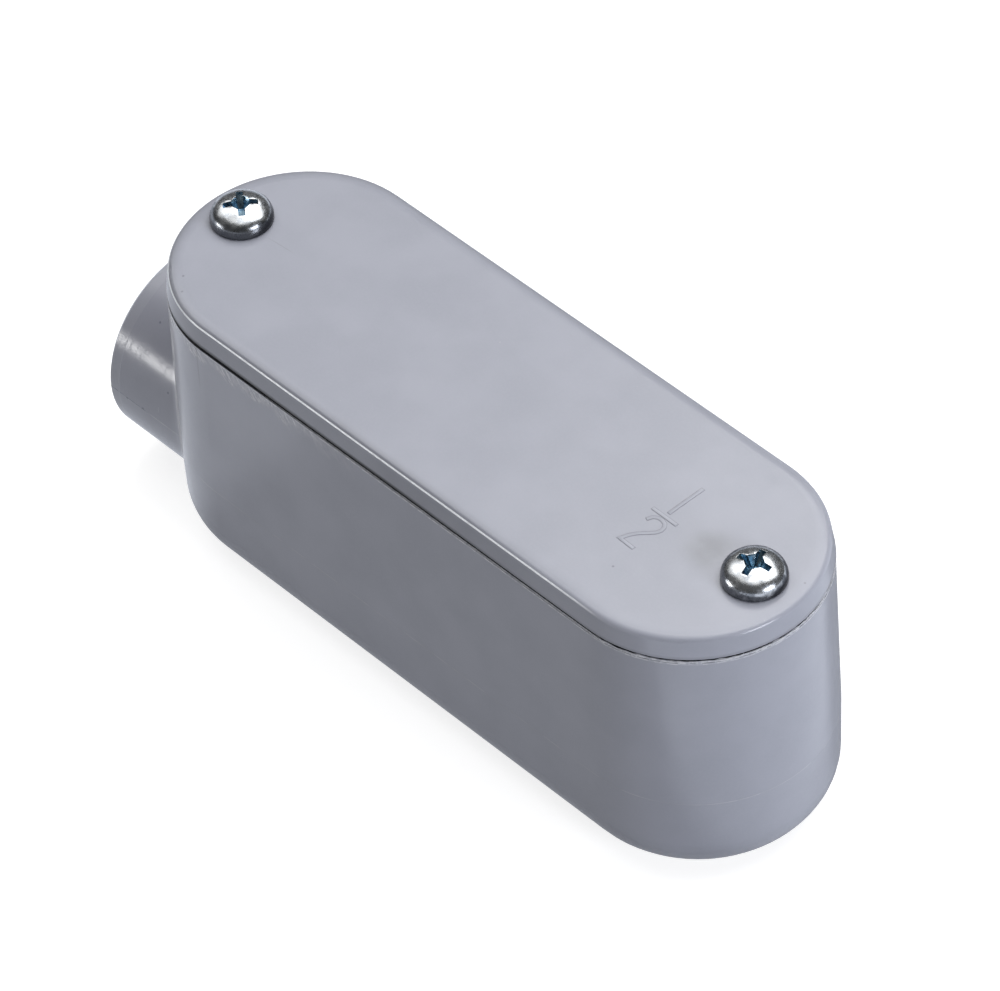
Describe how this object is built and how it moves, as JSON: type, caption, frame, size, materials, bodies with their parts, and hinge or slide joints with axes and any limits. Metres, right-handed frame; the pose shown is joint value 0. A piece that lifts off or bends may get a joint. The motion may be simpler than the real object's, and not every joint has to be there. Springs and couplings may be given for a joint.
{
  "type": "conduit body",
  "caption": "Grey moulded plastic conduit body with a long rounded plan, a round socket hub at one end and a flat cover held by pan head screws.",
  "frame": {"origin": "on the plane of the back face, under the middle of the whole object's length and width", "axes": "+Z out through the cover, the hub's mouth towards -X, the blank end towards +X, +Y across the width"},
  "size_m": [0.109, 0.0344, 0.0448],
  "materials": {
    "grey_plastic": "satin moulded PVC",
    "dark_rubber": "matte",
    "zinc_steel": "bright zinc plate"
  },
  "bodies": {
    "housing": {"housing": "grey_plastic"},
    "cover": {"cover": "grey_plastic", "gasket": "dark_rubber"},
    "screw_hub_end": {"screw_hub_end": "zinc_steel"},
    "screw_blank_end": {"screw_blank_end": "zinc_steel"}
  },
  "joints": [
    {"name": "cover_lift", "type": "slide", "parent": "housing", "child": "cover", "axis": [0, 0, 1], "range_m": [0, 0.03]},
    {"name": "screw_hub_end_out", "type": "slide", "parent": "cover", "child": "screw_hub_end", "axis": [0, 0, 1], "range_m": [0, 0.014]},
    {"name": "screw_blank_end_out", "type": "slide", "parent": "cover", "child": "screw_blank_end", "axis": [0, 0, 1], "range_m": [0, 0.014]}
  ]
}
